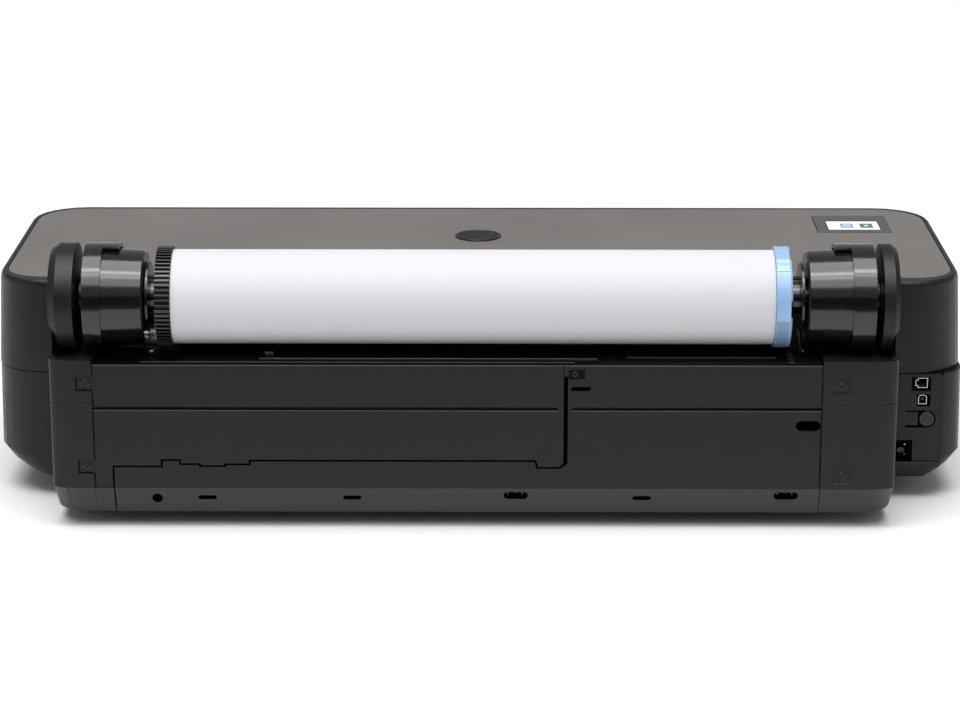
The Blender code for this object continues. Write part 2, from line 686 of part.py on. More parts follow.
def make_spindle():
    centre = (0, AXIS_Y, AXIS_Z)
    left_end, right_end = 372.0, -367.0
    profile = [
        (left_end, 0),
        (left_end, SHAFT_RADIUS),
        (335.0, SHAFT_RADIUS),
        (335.0, 36.0),
        (332.0, 36.0),
        (332.0, 17.0),
        (FLANGE_X[1] + GAP, 17.0),
        (FLANGE_X[1] + GAP, 12.0),
        (HUB_X[0] - 4.0, 12.0),
        (HUB_X[0] - 4.0, 17.0),
        (-324.5, 17.0),
        (-324.5, 36.0),
        (-327.5, 36.0),
        (-327.5, SHAFT_RADIUS),
        (right_end, SHAFT_RADIUS),
        (right_end, 0),
    ]
    turned("spindle", profile, "X", centre, 32, "gloss_black")
    outline = gear_outline((AXIS_Y, AXIS_Z), ROLL_MODULE, FLANGE_TEETH, ROLL_PINION_ANGLE)
    gear = slab("roll_flange_gear", [outline, circle(AXIS_Y, AXIS_Z, 12.3)], "X", *FLANGE_X, "gloss_black")
    hinge_origin(gear, centre)
    core = [(ROLL_X[1], 28.0), (ROLL_X[0], 28.0), (ROLL_X[0], 25.4), (ROLL_X[1], 25.4)]
    turned("roll_core", core, "X", centre, 32, "card")
    roll = [(ROLL_X[1], ROLL_RADIUS), (ROLL_X[0], ROLL_RADIUS), (ROLL_X[0], 28.3), (ROLL_X[1], 28.3)]
    turned("paper_roll", roll, "X", centre, 64, "paper")
    rim = []
    for i in range(5):
        rim += arc(AXIS_Y, AXIS_Z, 51.4, 51.4, 72 * i + 8, 72 * i + 64, 7)
    hub = slab("blue_hub", [rim, circle(AXIS_Y, AXIS_Z, 12.3)], "X", *HUB_X, "blue")
    spigot = [(-290, 24.9), (-300, 24.9), (-300, 12.3), (-290, 12.3)]
    join(hub, turned("hub_spigot", spigot, "X", centre, 24))
    hinge_origin(hub, centre)


def make_roll_drive():
    distance = ROLL_MODULE * (FLANGE_TEETH + ROLL_PINION_TEETH) / 2
    y = AXIS_Y + distance * math.cos(ROLL_PINION_ANGLE)
    z = AXIS_Z + distance * math.sin(ROLL_PINION_ANGLE)
    step = 2 * math.pi / ROLL_PINION_TEETH
    teeth = gear_outline((y, z), ROLL_MODULE, ROLL_PINION_TEETH, ROLL_PINION_ANGLE + math.pi - step / 2)
    pinion = slab("roll_pinion", [teeth], "X", 309, 323, "dark_grey")
    hinge_origin(pinion, (0, y, z))
    cylinder("roll_motor", "X", (324, y, z), 12, 0, 46, 20, "dark_grey")
    frame = bpy.data.objects["rear_frame"]
    cut(frame, box("drive_opening", (301, 104.5, 160), (373, 160, 180)))


def make_feet():
    spots = ((400, -165), (-400, -165), (320, 140), (-320, 140))
    for index, (x, y) in enumerate(spots):
        top = BODY_BOTTOM - GAP if y < 0 else 20 - GAP
        cylinder(f"foot_{index + 1}", "Z", (x, y, 0), 17, 0, top, 24, "rubber")


make_base_shell()
make_port_panel()
make_upper_shell()
make_lid()
make_control_panel()
make_front()
make_carriage()
make_cutter()
make_paper_feed()
make_electronics()
left_cover = make_side_cover("left", *LEFT_COVER)
ear_pocket(left_cover, EAR_HEIGHTS[0])
join(left_cover, slab("left_bevel", [bevel_section(BEVEL_TOP + 0.2, 0.4)], "X", 369.6, 392.0))
ear_pocket(make_cheek_cover("left", *LEFT_COVER, (405.5, 423.0, 430.8)), EAR_HEIGHTS[1])
screw_seat(make_side_cover("right", *reversed(RIGHT_COVER)), *COVER_SCREWS[0])
screw_seat(make_cheek_cover("right", *reversed(RIGHT_COVER), (-405.0, -416.0, -421.3)), *COVER_SCREWS[1])
make_drum("left", 336.0, 378.0, 396.0, 1)
make_drum("right", -330.0, -374.6, -397.5, -1)
make_rear_frame()
make_rear_panels()
make_screws()
make_spindle()
make_roll_drive()
make_feet()
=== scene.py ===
"""Looks for the large format plotter: materials, fine detail, studio light and a camera behind the plotter.

Everything is in metres in the part's frame: +Z up, the printer's front along -Y and the paper roll at +Y.
"""

import math

import bmesh
import bpy
from mathutils import Matrix, Vector


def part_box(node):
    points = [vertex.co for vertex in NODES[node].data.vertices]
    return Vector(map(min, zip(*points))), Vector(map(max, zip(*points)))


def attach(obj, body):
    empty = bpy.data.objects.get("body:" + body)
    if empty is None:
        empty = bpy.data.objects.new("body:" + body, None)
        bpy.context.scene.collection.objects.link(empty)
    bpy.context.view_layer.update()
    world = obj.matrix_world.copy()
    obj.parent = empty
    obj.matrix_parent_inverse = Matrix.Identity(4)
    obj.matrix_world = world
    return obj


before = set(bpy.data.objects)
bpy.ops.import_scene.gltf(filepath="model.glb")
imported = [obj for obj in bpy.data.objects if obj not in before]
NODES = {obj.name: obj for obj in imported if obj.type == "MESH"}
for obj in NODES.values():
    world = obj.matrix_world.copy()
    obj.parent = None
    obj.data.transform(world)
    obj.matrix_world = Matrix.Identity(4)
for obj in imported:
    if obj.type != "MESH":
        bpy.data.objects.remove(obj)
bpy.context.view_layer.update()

BLACK = (0.0095, 0.0103, 0.0112)
DEEP_BLACK = (0.0045, 0.0047, 0.0050)
TAUPE = (0.150, 0.137, 0.132)
PANEL_GREY = (0.070, 0.071, 0.073)
SOFT_BLUE = (0.29, 0.47, 0.74)
ROLL_WHITE = (0.66, 0.66, 0.69)
CARD_BROWN = (0.42, 0.30, 0.18)
BEVEL_HEIGHT = 0.044
# Painted reflection: the paler grey painted on the slope at the rear unit's foot.
PAINTED_SHEEN_GREY = (0.040, 0.040, 0.041)
SHELL_SHINE = 0.27
SHELL_ROUGHNESS = 0.37
RIB_PITCH = 0.0042
RIB_SLANT = 0.75
WEAVE_PITCH = 0.0034
WEAVE_SLANT = 0.55
FLOOR_SIZE = 14.0
WORLD_STRENGTH = 0.34
SKY_ENERGY = 2.4
SKY_ANGLE = 52.0
ROLL_TARGET = (0.0, 0.16, 0.23)
CAMERA_PLACE = (-0.0197, 3.1562, 1.0221)
CAMERA_YAW = 0.349
CAMERA_TILT = 16.02
CAMERA_LENS = 114.5


def mm(*values):
    """A point given in millimetres, in metres."""
    return Vector(values) * 0.001


# Materials


class Shader:
    """A Principled material whose nodes are added one after another."""

    def __init__(self, name, colour, roughness, metallic=0.0, coat=0.0, shine=0.5):
        self.material = bpy.data.materials.new(name)
        self.material.use_nodes = True
        self.tree = self.material.node_tree
        self.principled = self.tree.nodes["Principled BSDF"]
        self.principled.inputs["Base Color"].default_value = (*colour, 1.0)
        self.principled.inputs["Roughness"].default_value = roughness
        self.principled.inputs["Metallic"].default_value = metallic
        self.principled.inputs["Coat Weight"].default_value = coat
        self.principled.inputs["Specular IOR Level"].default_value = shine
        self.place = self.add("ShaderNodeTexCoord").outputs["Object"]

    def add(self, kind, **settings):
        node = self.tree.nodes.new(kind)
        for key, value in settings.items():
            setattr(node, key, value)
        return node

    def link(self, source, target):
        self.tree.links.new(source, target)

    def math(self, operation, first, second=0.0):
        node = self.add("ShaderNodeMath", operation=operation)
        for socket, value in zip(node.inputs, (first, second)):
            if isinstance(value, (int, float)):
                socket.default_value = value
            else:
                self.link(value, socket)
        return node.outputs[0]

    def stretched(self, scale):
        """The object's own coordinates, multiplied along each axis."""
        node = self.add("ShaderNodeMapping")
        self.link(self.place, node.inputs["Vector"])
        node.inputs["Scale"].default_value = scale
        return node.outputs["Vector"]

    def noise(self, scale, detail=3.0, stretch=(1.0, 1.0, 1.0)):
        node = self.add("ShaderNodeTexNoise")
        self.link(self.stretched(stretch), node.inputs["Vector"])
        node.inputs["Scale"].default_value = scale
        node.inputs["Detail"].default_value = detail
        return node.outputs["Fac"]

    def spread(self, value, low, high):
        """A 0 to 1 value turned into one between low and high."""
        node = self.add("ShaderNodeMapRange")
        self.link(value, node.inputs["Value"])
        node.inputs["From Min"].default_value = 0.3
        node.inputs["From Max"].default_value = 0.7
        node.inputs["To Min"].default_value = low
        node.inputs["To Max"].default_value = high
        return node.outputs["Result"]

    def mix(self, factor, first, second):
        node = self.add("ShaderNodeMix", data_type="RGBA")
        self.link(factor, node.inputs["Factor"])
        node.inputs["A"].default_value = (*first, 1.0)
        node.inputs["B"].default_value = (*second, 1.0)
        return node.outputs["Result"]

    def colour(self, socket):
        self.link(socket, self.principled.inputs["Base Color"])

    def roughness(self, socket):
        self.link(socket, self.principled.inputs["Roughness"])

    def bump(self, height, strength, distance=0.0002):
        node = self.add("ShaderNodeBump")
        node.inputs["Strength"].default_value = strength
        node.inputs["Distance"].default_value = distance
        self.link(height, node.inputs["Height"])
        before = self.principled.inputs["Normal"]
        if before.is_linked:
            self.link(before.links[0].from_socket, node.inputs["Normal"])
        self.link(node.outputs["Normal"], before)


def shade(colour, factor):
    return tuple(min(1.0, part * factor) for part in colour)


def moulded(name, colour, roughness, grain=0.25, grain_scale=1500.0, coat=0.0, shine=0.5):
    """Moulded plastic: a fine grained skin, with slow changes of tone and gloss."""
    look = Shader(name, colour, roughness, coat=coat, shine=shine)
    slow = look.noise(9.0, 2.0)
    look.colour(look.mix(look.spread(slow, 0.0, 1.0), shade(colour, 0.9), shade(colour, 1.12)))
    look.roughness(look.spread(look.noise(140.0, 4.0), roughness - 0.05, roughness + 0.06))
    look.bump(look.noise(grain_scale, 2.0), grain, 0.00012)
    return look


def axis_values(look):
    node = look.add("ShaderNodeSeparateXYZ")
    look.link(look.place, node.inputs["Vector"])
    return node.outputs["X"], node.outputs["Y"], node.outputs["Z"]


def window(look, value, low, high, soft):
    """1 between low and high, fading to 0 over a soft margin."""
    rise = look.add("ShaderNodeMapRange", interpolation_type="SMOOTHSTEP")
    look.link(value, rise.inputs["Value"])
    rise.inputs["From Min"].default_value = low - soft
    rise.inputs["From Max"].default_value = low
    fall = look.add("ShaderNodeMapRange", interpolation_type="SMOOTHSTEP")
    look.link(value, fall.inputs["Value"])
    fall.inputs["From Min"].default_value = high
    fall.inputs["From Max"].default_value = high + soft
    fall.inputs["To Min"].default_value = 1.0
    fall.inputs["To Max"].default_value = 0.0
    return look.math("MULTIPLY", rise.outputs[0], fall.outputs[0])


def painted_sheen_shell():
    """The rear unit's plastic, with a paler band of colour on the slope at its foot: a painted reflection of
    the pale floor that the slope faces.
    """
    look = moulded("black_painted_sheen", BLACK, SHELL_ROUGHNESS, shine=SHELL_SHINE)
    _, _, z = axis_values(look)
    # Painted reflection: the colour turns paler from the floor up to the top of the foot's slope.
    band = window(look, z, 0.0, BEVEL_HEIGHT - 0.0004, 0.0002)
    look.colour(look.mix(band, BLACK, PAINTED_SHEEN_GREY))
    return look.material


def ribbed_shell():
    """The lower shell's plastic: fine slanted ribs run round its lower corners."""
    look = moulded("black_ribbed", BLACK, SHELL_ROUGHNESS, shine=SHELL_SHINE)
    x, y, z = axis_values(look)
    along = look.math("SUBTRACT", y, x)
    slant = look.math("ADD", look.math("MULTIPLY", along, RIB_SLANT), z)
    ribs = look.math("SINE", look.math("MULTIPLY", slant, 2 * math.pi / RIB_PITCH))
    corner = window(look, x, 0.478, 0.60, 0.016)
    belt = window(look, z, 0.066, 0.106, 0.014)
    look.bump(look.math("MULTIPLY", look.math("MULTIPLY", ribs, corner), belt), 0.35, 0.0005)
    return look.material


def woven_inlay():
    """The lid's inlay: a matt taupe skin with a fine diagonal weave."""
    look = Shader("taupe_weave", TAUPE, 0.56)
    x, y, _ = axis_values(look)
    pitch = 2 * math.pi / WEAVE_PITCH
    lean = look.math("MULTIPLY", y, WEAVE_SLANT)
    rising = look.math("SINE", look.math("MULTIPLY", look.math("ADD", x, lean), pitch))
    falling = look.math("SINE", look.math("MULTIPLY", look.math("SUBTRACT", x, lean), pitch))
    weave = look.math("MULTIPLY", rising, falling)
    tone = look.math("ADD", look.math("MULTIPLY", weave, 0.22), look.noise(5.0, 3.0))
    look.colour(look.mix(look.spread(tone, 0.0, 1.0), shade(TAUPE, 0.88), shade(TAUPE, 1.10)))
    look.roughness(look.spread(look.noise(260.0, 3.0), 0.50, 0.62))
    look.bump(weave, 0.55, 0.00025)
    look.bump(look.noise(1800.0, 2.0), 0.2, 0.0001)
    return look.material


def wound_paper():
    """The roll: a smooth white sheet, with a faint grain."""
    look = Shader("roll_paper", ROLL_WHITE, 0.62)
    slow = look.noise(4.0, 2.0, (0.3, 1.0, 1.0))
    look.colour(look.mix(look.spread(slow, 0.0, 1.0), shade(ROLL_WHITE, 0.985), shade(ROLL_WHITE, 1.01)))
    look.bump(look.noise(900.0, 3.0), 0.08, 0.00005)
    return look.material


def card_tube():
    look = Shader("card_tube", CARD_BROWN, 0.85)
    fibres = look.noise(420.0, 5.0, (0.2, 1.0, 1.0))
    look.colour(look.mix(look.spread(fibres, 0.0, 1.0), shade(CARD_BROWN, 0.75), shade(CARD_BROWN, 1.2)))
    look.bump(fibres, 0.4, 0.0002)
    return look.material


def metal(name, colour, roughness, stretch):
    """Drawn metal with fine lines along its length."""
    look = Shader(name, colour, roughness, metallic=1.0)
    lines = look.noise(600.0, 4.0, stretch)
    look.roughness(look.spread(lines, roughness - 0.08, roughness + 0.12))
    look.colour(look.mix(look.spread(lines, 0.0, 1.0), shade(colour, 0.85), shade(colour, 1.1)))
    look.bump(lines, 0.1, 0.00005)
    return look.material


def rubber():
    look = moulded("rubber_black", (0.018, 0.018, 0.018), 0.82, 0.5, 900.0)
    return look.material


def circuit_board():
    """A green board with darker tracks."""
    look = Shader("board_green", (0.02, 0.13, 0.05), 0.45)
    tracks = look.add("ShaderNodeTexBrick")
    look.link(look.stretched((1.0, 1.0, 1.0)), tracks.inputs["Vector"])
    tracks.inputs["Scale"].default_value = 120.0
    tracks.inputs["Color1"].default_value = (0.02, 0.13, 0.05, 1)
    tracks.inputs["Color2"].default_value = (0.03, 0.18, 0.07, 1)
    tracks.inputs["Mortar"].default_value = (0.01, 0.07, 0.03, 1)
    look.colour(tracks.outputs["Color"])
    return look.material


def lit(name, colour, strength):
    """A lit part of the display behind clear glass."""
    look = Shader(name, colour, 0.12, coat=0.4)
    look.principled.inputs["Emission Color"].default_value = (*colour, 1.0)
    look.principled.inputs["Emission Strength"].default_value = strength
    look.roughness(look.spread(look.noise(60.0, 2.0), 0.1, 0.16))
    return look.material


LOOKS = {
    "shell": moulded("black_shell", BLACK, SHELL_ROUGHNESS, shine=SHELL_SHINE).material,
    "painted_sheen": painted_sheen_shell(),
    "ribbed": ribbed_shell(),
    "smooth": moulded("black_smooth", shade(BLACK, 0.8), 0.30, 0.12, 1500.0).material,
    "gloss": moulded("black_gloss", DEEP_BLACK, 0.17, 0.04, 900.0, 0.25, 0.52).material,
    "emblem": moulded("emblem_black", DEEP_BLACK, 0.35, 0.05, 900.0, shine=0.15).material,
    # deep: near-black plastic for the deck, frame and sockets; the same black also stands as painted shade in
    # seams, grooves, holes and screw recesses.
    "deep": moulded("black_deep", shade(DEEP_BLACK, 0.5), 0.6, shine=0.1).material,
    "inlay": woven_inlay(),
    "grey": moulded("panel_grey", PANEL_GREY, 0.42).material,
    "inner": moulded("inner_grey", (0.06, 0.061, 0.064), 0.5).material,
    "blue": moulded("hub_blue", SOFT_BLUE, 0.30, 0.08, 900.0, 0.15).material,
    # Darker and paler copies of the hub's blue, used as painted shade and painted highlight on the hub's
    # parts.
    "blue_painted_shade": moulded("hub_blue_painted_shade", shade(SOFT_BLUE, 0.62), 0.34, 0.08, 900.0, 0.15).material,
    "blue_painted_highlight": moulded("hub_blue_painted_highlight", shade(SOFT_BLUE, 1.35), 0.28, 0.08, 900.0, 0.15).material,
    "paper": wound_paper(),
    "card": card_tube(),
    "steel": metal("steel_drawn", (0.60, 0.61, 0.63), 0.32, (0.05, 1.0, 1.0)),
    "port": metal("port_metal", (0.62, 0.62, 0.64), 0.28, (1.0, 0.2, 1.0)),
    "screw": metal("screw_dark", (0.045, 0.045, 0.048), 0.35, (1.0, 1.0, 1.0)),
    "gold": metal("contact_gold", (0.75, 0.52, 0.2), 0.3, (1.0, 1.0, 0.2)),
    "film": moulded("clear_film", (0.30, 0.31, 0.30), 0.2, 0.05, 900.0, 0.3).material,
    "rubber": rubber(),
    "board": circuit_board(),
    "screen": lit("screen_white", (0.80, 0.86, 0.86), 0.35),
    "tile_blue": lit("tile_blue", (0.10, 0.36, 0.55), 0.25),
    "tile_green": lit("tile_green", (0.01, 0.16, 0.05), 0.15),
    "cyan": moulded("ink_cyan", (0.0, 0.25, 0.50), 0.35).material,
    "magenta": moulded("ink_magenta", (0.45, 0.02, 0.18), 0.35).material,
    "yellow": moulded("ink_yellow", (0.70, 0.50, 0.02), 0.35).material,
}


# Shapes


def mark_creases(item, heights):
    """Keeps the edges that run level at these heights (in metres) crisp, where a wall changes slope there."""
    places = [vertex.co.z for vertex in item.data.vertices]
    for edge in item.data.edges:
        for height in heights:
            if all(abs(places[i] - height) < 0.0002 for i in edge.vertices):
                edge.use_edge_sharp = True


def finish_shape(item, bevel=0.0, segments=3, smooth=35.0, creases=()):
    """Welds a CAD node or a piece and rounds its edges, then shades it smooth between them."""
    weld = item.modifiers.new("weld", "WELD")
    weld.merge_threshold = 0.000002
    if bevel:
        flat = item.modifiers.new("flat", "DECIMATE")
        flat.decimate_type = "DISSOLVE"
        flat.angle_limit = math.radians(0.4)
        edge = item.modifiers.new("edge", "BEVEL")
        edge.width = bevel
        edge.segments = segments
        edge.limit_method = "ANGLE"
        edge.angle_limit = math.radians(smooth)
        edge.miter_outer = "MITER_ARC"
        edge.use_clamp_overlap = True
    else:
        split = item.modifiers.new("split", "EDGE_SPLIT")
        split.split_angle = math.radians(30)
    for polygon in item.data.polygons:
        polygon.use_smooth = True
    item.data.set_sharp_from_angle(angle=math.radians(180))
    mark_creases(item, creases)
    normals = item.modifiers.new("normals", "WEIGHTED_NORMAL")
    normals.keep_sharp = True
    normals.weight = 60
    return item


def dress(node, look, bevel=0.0, segments=3, smooth=35.0, creases=()):
    """Gives a CAD node its finished material and rounded edges."""
    item = NODES[node]
    item.data.materials.clear()
    item.data.materials.append(LOOKS[look])
    return finish_shape(item, bevel, segments, smooth, creases)


def new_piece(name, mesh, look, body):
    item = bpy.data.objects.new(name, mesh)
    bpy.context.scene.collection.objects.link(item)
    mesh.materials.append(LOOKS[look])
    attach(item, body)
    return item


def from_bmesh(name, shape, look, body):
    bmesh.ops.recalc_face_normals(shape, faces=shape.faces)
    mesh = bpy.data.meshes.new(name)
    shape.to_mesh(mesh)
    shape.free()
    return new_piece(name, mesh, look, body)


def block(name, low, high, look, body, bevel=0.0003, segments=2):
    """A box with rounded edges, between two corners in metres."""
    low, high = Vector(low), Vector(high)
    shape = bmesh.new()
    bmesh.ops.create_cube(shape, size=1.0)
    bmesh.ops.scale(shape, vec=high - low, verts=shape.verts)
    bmesh.ops.translate(shape, vec=(high + low) / 2, verts=shape.verts)
    bmesh.ops.bevel(
        shape,
        geom=shape.edges[:],
        offset=min(bevel, min(high - low) * 0.45),
        segments=segments,
        profile=0.5,
        affect="EDGES",
    )
    item = from_bmesh(name, shape, look, body)
    item.data.shade_smooth()
    item.modifiers.new("normals", "WEIGHTED_NORMAL")
    return item


AXIS_TURN = {
    "X": Matrix.Rotation(math.pi / 2, 4, "Y"),
    "Y": Matrix.Rotation(-math.pi / 2, 4, "X"),
    "Z": Matrix.Identity(4),
}


def turned(name, profile, axis, centre, look, body, steps=96):
    """A closed (along, radius) profile in metres, turned about an axis through centre."""
    shape = bmesh.new()
    rings = []
    for along, radius in profile:
        ring = []
        for i in range(steps if radius > 0 else 1):
            angle = 2 * math.pi * i / steps
            ring.append(shape.verts.new((radius * math.cos(angle), radius * math.sin(angle), along)))
        rings.append(ring)
    pairs = list(zip(rings, rings[1:]))
    if profile[0][1] > 0:
        pairs.append((rings[-1], rings[0]))
    for first, second in pairs:
        for i in range(steps):
            corners = [first[i % len(first)], first[(i + 1) % len(first)]]
            corners += [second[(i + 1) % len(second)], second[i % len(second)]]
            shape.faces.new(list(dict.fromkeys(corners)))
    move = Matrix.Translation(Vector(centre)) @ AXIS_TURN[axis]
    bmesh.ops.transform(shape, matrix=move, verts=shape.verts)
    item = from_bmesh(name, shape, look, body)
    item.data.shade_smooth()
    item.data.set_sharp_from_angle(angle=math.radians(40))
    return item


AXIS_ORDER = {
    "X": lambda a, b, t: (t, a, b),
    "Y": lambda a, b, t: (a, t, b),
    "Z": lambda a, b, t: (a, b, t),
}


def prism(name, outline, axis, low, high, look, body, bevel=0.0, segments=2):
    """An outline in metres, (y, z) for X, (x, z) for Y or (x, y) for Z, given thickness on an axis."""
    order = AXIS_ORDER[axis]
    shape = bmesh.new()
    base = shape.faces.new([shape.verts.new(order(a, b, low)) for a, b in outline])
    grown = bmesh.ops.extrude_face_region(shape, geom=[base])["geom"]
    moved = [item for item in grown if isinstance(item, bmesh.types.BMVert)]
    bmesh.ops.translate(shape, vec=order(0, 0, high - low), verts=moved)
    item = from_bmesh(name, shape, look, body)
    if bevel:
        edge = item.modifiers.new("edge", "BEVEL")
        edge.width = bevel
        edge.segments = segments
        edge.limit_method = "ANGLE"
        edge.angle_limit = math.radians(40)
    item.data.shade_smooth()
    item.data.set_sharp_from_angle(angle=math.radians(180 if bevel else 35))
    if bevel:
        item.modifiers.new("normals", "WEIGHTED_NORMAL")
    return item


def arc(centre, radius, start, end, steps):
    """Points of a circular arc, angles in degrees."""
    points = []
    for i in range(steps + 1):
        angle = math.radians(start + (end - start) * i / steps)
        points.append((centre[0] + radius * math.cos(angle), centre[1] + radius * math.sin(angle)))
    return points


def rounded(low, high, radius, steps=5):
    points = arc((low[0] + radius, low[1] + radius), radius, 180, 270, steps)
    points += arc((high[0] - radius, low[1] + radius), radius, 270, 360, steps)
    points += arc((high[0] - radius, high[1] - radius), radius, 0, 90, steps)
    points += arc((low[0] + radius, high[1] - radius), radius, 90, 180, steps)
    return points


def bridge(name, outer, inner, axis, low, high, look, body):
    """A flat ring between two outlines with the same number of points, given thickness on an axis."""
    order = AXIS_ORDER[axis]
    shape = bmesh.new()
    loops = []
    for outline, level in ((outer, low), (outer, high), (inner, high), (inner, low)):
        loops.append([shape.verts.new(order(a, b, level)) for a, b in outline])
    count = len(outer)
    for first, second in zip(loops, loops[1:] + loops[:1]):
        for i in range(count):
            j = (i + 1) % count
            shape.faces.new((first[i], first[j], second[j], second[i]))
    item = from_bmesh(name, shape, look, body)
    item.data.shade_smooth()
    item.data.set_sharp_from_angle(angle=math.radians(35))
    return item


def ring(name, outline, inset, axis, low, high, look, body):
    """A frame of even thickness that follows an outline, with mitred corners."""
    inner = []
    count = len(outline)
    turn = sum(a[0] * b[1] - b[0] * a[1] for a, b in zip(outline, outline[1:] + outline[:1]))
    for i in range(count):
        before, here, after = (Vector(outline[(i + step) % count]).to_2d() for step in (-1, 0, 1))
        first = (here - before).normalized()
        second = (after - here).normalized()
        normals = [Vector((-edge.y, edge.x)) * (1 if turn > 0 else -1) for edge in (first, second)]
        mitre = (normals[0] + normals[1]).normalized()
        inner.append(tuple(here + mitre * (inset / max(0.3, mitre.dot(normals[0])))))
    return bridge(name, outline, inner, axis, low, high, look, body)


# Housings


def dress_housings():
    dress("base_shell", "ribbed", 0.0008)
    dress("port_panel", "shell")
    dress("upper_shell", "shell", 0.0009)
    dress("top_lid", "inlay", 0.0006)
    dress("control_panel", "grey", 0.0004)
    dress("display_glass", "screen", 0.0003)
    dress("output_flap", "smooth", 0.0008)
    dress("ink_door", "smooth", 0.0008)
    dress("rear_access_panel", "painted_sheen", 0.0007)
    dress("rear_cover", "painted_sheen", 0.0007, creases=[BEVEL_HEIGHT])
    dress("side_cover_left", "painted_sheen", 0.0008, creases=[BEVEL_HEIGHT])
    dress("side_cover_right", "painted_sheen", 0.0008, creases=[BEVEL_HEIGHT])
    dress("cheek_cover_left", "painted_sheen", 0.0012)
    dress("cheek_cover_right", "painted_sheen", 0.0012)
    dress("rear_frame", "deep", 0.0004)
    dress("roll_deck", "deep", 0.0004)
    for index in range(1, 5):
        dress(f"foot_{index}", "rubber", 0.001)


def dress_inside():
    dress("cartridge_bay", "inner", 0.0005)
    for index, look in enumerate(("cyan", "magenta", "yellow", "smooth")):
        dress(f"ink_cartridge_{index + 1}", look, 0.0008)
    dress("carriage", "inner", 0.001)
    dress("carriage_rail", "steel", 0.0003)
    dress("drive_belt", "rubber")
    dress("motor_pulley", "steel", 0.0003)
    dress("idler_pulley", "steel", 0.0003)
    dress("carriage_motor", "steel", 0.0005)
    dress("cutter_rail", "steel", 0.0003)
    dress("cutter", "smooth", 0.0008)
    dress("platen", "inner", 0.0004)
    dress("feed_roller", "rubber", 0.0003)
    dress("feed_gear", "inner")
    dress("feed_pinion", "steel")
    dress("feed_motor", "steel", 0.0006)
    dress("pinch_roller", "rubber", 0.0003)
    dress("service_station", "inner", 0.0008)
    dress("main_board", "board")
    dress("power_supply", "steel", 0.0004)
    dress("roll_pinion", "inner")
    dress("roll_motor", "steel", 0.0006)


def dress_sockets():
    dress("network_socket", "deep")
    dress("data_socket", "deep")
    dress("power_inlet", "deep")
    dress("rear_key", "smooth", 0.0008)
    for index in range(1, 5):
        dress(f"cover_screw_{index}", "screw", 0.0003)


# Roll


def dress_roll():
    dress("drum_left", "gloss", 0.0008, 3, 28)
    dress("drum_right", "gloss", 0.0008, 3, 28)
    dress("spindle", "gloss", 0.0005)
    dress("roll_flange_gear", "gloss", 0.0003, 2)
    dress("blue_hub", "blue", 0.0005)
    dress("roll_core", "card")
    dress("paper_roll", "paper")
    dress("emblem_disc", "emblem", 0.0003)


# Rear detail


def socket_frame(name, outline, inset, depth, look):
    """A thin folded metal frame round a socket's mouth, standing just proud of the socket."""
    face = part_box("network_socket")[1].y
    ring(name, outline, inset, "Y", face - depth, face + 0.0004, look, "chassis")


def network_detail():
    """The network socket's stepped frame and its eight contacts."""
    low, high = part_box("network_socket")
    margin = 0.0012
    notch = 0.0022
    pitch = 0.00095
    left, right = low.x + margin, high.x - margin
    base, top = low.z + margin, high.z - margin
    outline = [(left, base), (right - notch, base), (right - notch, base + notch), (right, base + notch)]
    outline += [(right, top - notch), (right - notch, top - notch), (right - notch, top), (left, top)]
    socket_frame("network_frame", outline, 0.0006, 0.008, "port")
    for index in range(8):
        x = left + notch + pitch * index
        pin = mm(0.4, 9.0, 0.4)
        start = Vector((x, low.y + 0.0075, base + 0.0010))
        block(f"network_contact_{index + 1}", start, start + pin, "gold", "chassis", 0.0001)


def data_detail():
    """The data socket's frame with its two cut corners, and the tongue with its contacts."""
    low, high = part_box("data_socket")
    margin = 0.0006
    cut = 0.0020
    left, right = low.x + margin, high.x - margin
    base, top = low.z + margin, high.z - margin
    outline = [(left, base), (right, base), (right, top - cut)]
    outline += [(right - cut, top), (left + cut, top), (left, top - cut)]
    socket_frame("data_frame", outline, 0.0006, 0.008, "port")
    middle = (low + high) / 2
    reach = mm(1.6, 8.0, 1.4)
    centre = Vector((middle.x, low.y + 0.0150, middle.z))
    block("data_tongue", centre - reach, centre + reach, "smooth", "chassis", 0.0003)
    for index, side in enumerate((-1, 1)):
        at = centre + Vector((0.0009 * side, 0.0, 0.0016))
        half = mm(0.4, 6.5, 0.3)
        block(f"data_contact_{index + 1}", at - half, at + half, "gold", "chassis", 0.0001)


def inlet_detail():
    """The power inlet's raised middle with its two pins."""
    low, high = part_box("power_inlet")
    middle = (low + high) / 2
    radius = 0.0032
    centre = (middle.x, middle.z - 0.001)
    far_centre = (centre[0] + 0.002, centre[1])
    outline = arc(centre, radius, 90, 270, 10) + arc(far_centre, radius, -90, 90, 10)
    prism("inlet_boss", outline, "Y", low.y + 0.013, high.y - 0.003, "smooth", "chassis", 0.0004)
    for index, shift in enumerate((-0.0055, 0.0055)):
        root, shoulder, tip = low.y + 0.012, high.y - 0.0035, high.y - 0.0028
        pin = [(root, 0), (root, 0.0011), (shoulder, 0.0011), (tip, 0.0006), (tip, 0)]
        place = (middle.x - 0.003, 0, middle.z + shift)
        turned(f"inlet_pin_{index + 1}", pin, "Y", place, "port", "chassis", 24)


